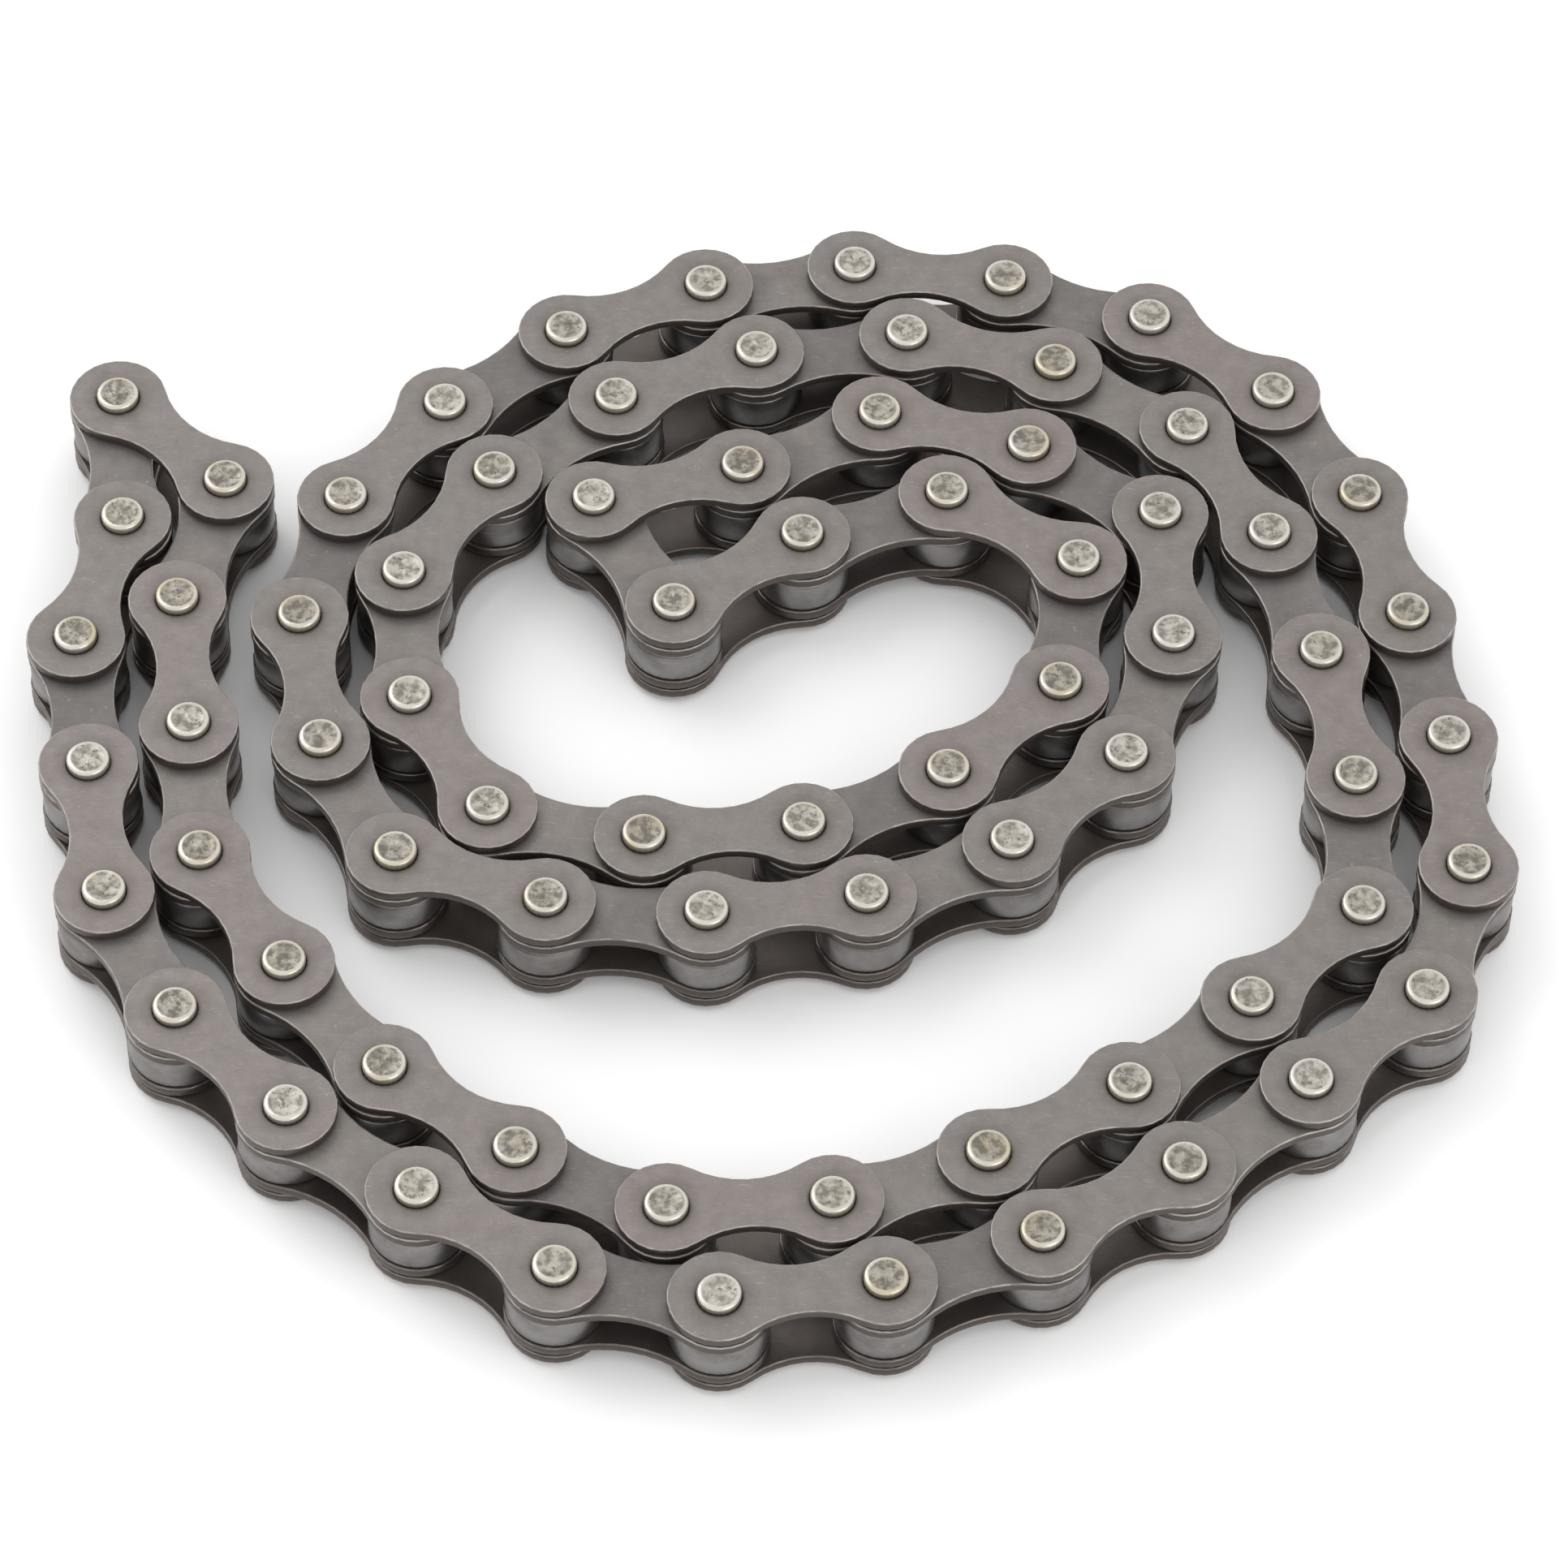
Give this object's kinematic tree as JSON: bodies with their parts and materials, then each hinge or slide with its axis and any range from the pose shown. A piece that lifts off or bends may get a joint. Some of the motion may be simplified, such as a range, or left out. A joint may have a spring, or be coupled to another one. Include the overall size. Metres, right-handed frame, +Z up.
{
  "type": "roller chain",
  "caption": "Endless single-row roller chain lying flat in a wound, doubled spiral, with waisted steel plates, riveted pins, bushes and rollers on hinged links.",
  "frame": {"origin": "under the middle of the wound chain's box, on the surface that the lower pin heads rest on", "axes": "+Z up along every pin; +X along the longer side of the wound chain, to the right; +Y away from the viewer"},
  "size_m": [0.1191, 0.1097, 0.0088],
  "materials": {
    "outer_plate_steel": "dark grey-brown tempered steel plate with worn bright edges",
    "inner_plate_steel": "dark tempered steel plate, slightly darker than the outer plates",
    "pin_steel": "bright riveted pin head, softly mottled",
    "bush_steel": "ground steel",
    "roller_steel": "smooth ground steel with bright rims"
  },
  "bodies": {
    "outer_link_00": {"outer_link_00": "outer_plate_steel"},
    "inner_link_01": {"inner_link_01": "inner_plate_steel"},
    "outer_link_02": {"outer_link_02": "outer_plate_steel"},
    "wound_core": {"links_03_04": "inner_plate_steel", "links_05_06": "inner_plate_steel", "links_07_08": "inner_plate_steel", "links_09_10": "inner_plate_steel", "links_11_12": "inner_plate_steel", "links_13_14": "inner_plate_steel", "links_15_16": "inner_plate_steel", "links_58_59": "outer_plate_steel", "links_60_61": "outer_plate_steel", "links_62_63": "outer_plate_steel", "links_64_65": "outer_plate_steel", "links_66_67": "outer_plate_steel", "links_68_69": "outer_plate_steel", "links_70_72": "outer_plate_steel"},
    "strand_17_19": {"inner_link_17": "inner_plate_steel", "links_18_19": "outer_plate_steel"},
    "strand_20_30": {"links_20_21": "outer_plate_steel", "links_22_23": "outer_plate_steel", "links_24_25": "outer_plate_steel", "links_26_27": "outer_plate_steel", "links_28_30": "outer_plate_steel"},
    "inner_link_31": {"inner_link_31": "inner_plate_steel"},
    "outer_link_32": {"outer_link_32": "outer_plate_steel"},
    "inner_link_33": {"inner_link_33": "inner_plate_steel"},
    "outer_link_34": {"outer_link_34": "outer_plate_steel"},
    "inner_link_35": {"inner_link_35": "inner_plate_steel"},
    "outer_link_36": {"outer_link_36": "outer_plate_steel"},
    "inner_link_37": {"inner_link_37": "inner_plate_steel"},
    "outer_link_38": {"outer_link_38": "outer_plate_steel"},
    "inner_link_39": {"inner_link_39": "inner_plate_steel"},
    "outer_link_40": {"outer_link_40": "outer_plate_steel"},
    "inner_link_41": {"inner_link_41": "inner_plate_steel"},
    "outer_link_42": {"outer_plate_top": "outer_plate_steel", "outer_plate_bottom": "outer_plate_steel", "pin_a": "pin_steel", "pin_b": "pin_steel"},
    "inner_link_43": {"inner_plate_top": "inner_plate_steel", "inner_plate_bottom": "inner_plate_steel", "bush_a": "bush_steel", "bush_b": "bush_steel"},
    "outer_link_44": {"outer_link_44": "outer_plate_steel"},
    "inner_link_45": {"inner_link_45": "inner_plate_steel"},
    "outer_link_46": {"outer_link_46": "outer_plate_steel"},
    "inner_link_47": {"inner_link_47": "inner_plate_steel"},
    "outer_link_48": {"outer_link_48": "outer_plate_steel"},
    "inner_link_49": {"inner_link_49": "inner_plate_steel"},
    "outer_link_50": {"outer_link_50": "outer_plate_steel"},
    "inner_link_51": {"inner_link_51": "inner_plate_steel"},
    "outer_link_52": {"outer_link_52": "outer_plate_steel"},
    "inner_link_53": {"inner_link_53": "inner_plate_steel"},
    "outer_link_54": {"outer_link_54": "outer_plate_steel"},
    "inner_link_55": {"inner_link_55": "inner_plate_steel"},
    "outer_link_56": {"outer_link_56": "outer_plate_steel"},
    "inner_link_57": {"inner_link_57": "inner_plate_steel"},
    "inner_link_73": {"inner_link_73": "inner_plate_steel"},
    "roller_a": {"roller_a": "roller_steel"},
    "roller_b": {"roller_b": "roller_steel"}
  },
  "joints": [
    {"name": "hinge_73", "type": "hinge", "parent": "wound_core", "child": "inner_link_73", "pos_m": [-0.01455, 0.02547, 0.0044], "axis": [0, 0, 1], "range_deg": [-60, 18]},
    {"name": "roller_a_spin", "type": "hinge", "parent": "inner_link_43", "child": "roller_a", "pos_m": [0.01016, -0.04934, 0.0044], "axis": [0, 0, 1], "continuous": true},
    {"name": "roller_b_spin", "type": "hinge", "parent": "inner_link_43", "child": "roller_b", "pos_m": [0.02202, -0.04479, 0.0044], "axis": [0, 0, 1], "continuous": true},
    {"name": "hinge_01", "type": "hinge", "parent": "inner_link_01", "child": "outer_link_00", "pos_m": [0.0026, 0.02226, 0.0044], "axis": [0, 0, 1], "range_deg": [-18, 90]},
    {"name": "hinge_02", "type": "hinge", "parent": "outer_link_02", "child": "inner_link_01", "pos_m": [0.01437, 0.02702, 0.0044], "axis": [0, 0, 1], "range_deg": [0, 12]},
    {"name": "hinge_03", "type": "hinge", "parent": "wound_core", "child": "outer_link_02", "pos_m": [0.02514, 0.02029, 0.0044], "axis": [0, 0, 1], "range_deg": [0, 12]},
    {"name": "hinge_17", "type": "hinge", "parent": "wound_core", "child": "strand_17_19", "pos_m": [0.04076, 0.02353, 0.0044], "axis": [0, 0, 1], "range_deg": [-12, 0]},
    {"name": "hinge_20", "type": "hinge", "parent": "strand_17_19", "child": "strand_20_30", "pos_m": [0.04732, -0.01371, 0.0044], "axis": [0, 0, 1], "range_deg": [0, 25]},
    {"name": "hinge_31", "type": "hinge", "parent": "strand_20_30", "child": "inner_link_31", "pos_m": [-0.04788, 0.01417, 0.0044], "axis": [0, 0, 1], "range_deg": [-6, 0]},
    {"name": "hinge_32", "type": "hinge", "parent": "inner_link_31", "child": "outer_link_32", "pos_m": [-0.04481, 0.02649, 0.0044], "axis": [0, 0, 1], "range_deg": [-30, 0]},
    {"name": "hinge_33", "type": "hinge", "parent": "outer_link_32", "child": "inner_link_33", "pos_m": [-0.05425, 0.03499, 0.0044], "axis": [0, 0, 1], "range_deg": [-90, 0]},
    {"name": "hinge_34", "type": "hinge", "parent": "inner_link_33", "child": "outer_link_34", "pos_m": [-0.05292, 0.02236, 0.0044], "axis": [0, 0, 1], "range_deg": [-26, 0]},
    {"name": "hinge_35", "type": "hinge", "parent": "outer_link_34", "child": "inner_link_35", "pos_m": [-0.05577, 0.00998, 0.0044], "axis": [0, 0, 1], "range_deg": [-26, 0]},
    {"name": "hinge_36", "type": "hinge", "parent": "inner_link_35", "child": "outer_link_36", "pos_m": [-0.05379, -0.00256, 0.0044], "axis": [0, 0, 1], "range_deg": [-26, 0]},
    {"name": "hinge_37", "type": "hinge", "parent": "outer_link_36", "child": "inner_link_37", "pos_m": [-0.05158, -0.01507, 0.0044], "axis": [0, 0, 1], "range_deg": [-26, 0]},
    {"name": "hinge_38", "type": "hinge", "parent": "inner_link_37", "child": "outer_link_38", "pos_m": [-0.04523, -0.02607, 0.0044], "axis": [0, 0, 1], "range_deg": [-26, 0]},
    {"name": "hinge_39", "type": "hinge", "parent": "outer_link_38", "child": "inner_link_39", "pos_m": [-0.0361, -0.03489, 0.0044], "axis": [0, 0, 1], "range_deg": [-26, 0]},
    {"name": "hinge_40", "type": "hinge", "parent": "inner_link_39", "child": "outer_link_40", "pos_m": [-0.02569, -0.04217, 0.0044], "axis": [0, 0, 1], "range_deg": [-26, 0]},
    {"name": "hinge_41", "type": "hinge", "parent": "outer_link_40", "child": "inner_link_41", "pos_m": [-0.01492, -0.0489, 0.0044], "axis": [0, 0, 1], "range_deg": [-26, 0]},
    {"name": "hinge_42", "type": "hinge", "parent": "inner_link_41", "child": "outer_link_42", "pos_m": [-0.00242, -0.05111, 0.0044], "axis": [0, 0, 1], "range_deg": [-26, 0]},
    {"name": "hinge_43", "type": "hinge", "parent": "outer_link_42", "child": "inner_link_43", "pos_m": [0.01016, -0.04934, 0.0044], "axis": [0, 0, 1], "range_deg": [-26, 0]},
    {"name": "hinge_44", "type": "hinge", "parent": "inner_link_43", "child": "outer_link_44", "pos_m": [0.02202, -0.04479, 0.0044], "axis": [0, 0, 1], "range_deg": [-26, 0]},
    {"name": "hinge_45", "type": "hinge", "parent": "outer_link_44", "child": "inner_link_45", "pos_m": [0.0329, -0.03825, 0.0044], "axis": [0, 0, 1], "range_deg": [-26, 0]},
    {"name": "hinge_46", "type": "hinge", "parent": "inner_link_45", "child": "outer_link_46", "pos_m": [0.04277, -0.03026, 0.0044], "axis": [0, 0, 1], "range_deg": [-26, 0]},
    {"name": "hinge_48", "type": "hinge", "parent": "outer_link_48", "child": "inner_link_47", "pos_m": [0.05577, -0.00945, 0.0044], "axis": [0, 0, 1], "range_deg": [0, 30]},
    {"name": "hinge_49", "type": "hinge", "parent": "inner_link_49", "child": "outer_link_48", "pos_m": [0.05467, 0.0032, 0.0044], "axis": [0, 0, 1], "range_deg": [0, 30]},
    {"name": "hinge_50", "type": "hinge", "parent": "outer_link_50", "child": "inner_link_49", "pos_m": [0.05181, 0.01558, 0.0044], "axis": [0, 0, 1], "range_deg": [0, 30]},
    {"name": "hinge_51", "type": "hinge", "parent": "inner_link_51", "child": "outer_link_50", "pos_m": [0.04831, 0.02778, 0.0044], "axis": [0, 0, 1], "range_deg": [0, 30]},
    {"name": "hinge_52", "type": "hinge", "parent": "outer_link_52", "child": "inner_link_51", "pos_m": [0.04139, 0.03843, 0.0044], "axis": [0, 0, 1], "range_deg": [0, 30]},
    {"name": "hinge_53", "type": "hinge", "parent": "inner_link_53", "child": "outer_link_52", "pos_m": [0.03125, 0.04608, 0.0044], "axis": [0, 0, 1], "range_deg": [0, 30]},
    {"name": "hinge_54", "type": "hinge", "parent": "outer_link_54", "child": "inner_link_53", "pos_m": [0.01917, 0.05, 0.0044], "axis": [0, 0, 1], "range_deg": [0, 30]},
    {"name": "hinge_55", "type": "hinge", "parent": "inner_link_55", "child": "outer_link_54", "pos_m": [0.00652, 0.05111, 0.0044], "axis": [0, 0, 1], "range_deg": [0, 30]},
    {"name": "hinge_56", "type": "hinge", "parent": "outer_link_56", "child": "inner_link_55", "pos_m": [-0.00595, 0.04869, 0.0044], "axis": [0, 0, 1], "range_deg": [0, 30]},
    {"name": "hinge_57", "type": "hinge", "parent": "inner_link_57", "child": "outer_link_56", "pos_m": [-0.01746, 0.04332, 0.0044], "axis": [0, 0, 1], "range_deg": [0, 30]},
    {"name": "hinge_58", "type": "hinge", "parent": "wound_core", "child": "inner_link_57", "pos_m": [-0.02719, 0.03515, 0.0044], "axis": [0, 0, 1], "range_deg": [0, 30]}
  ]
}
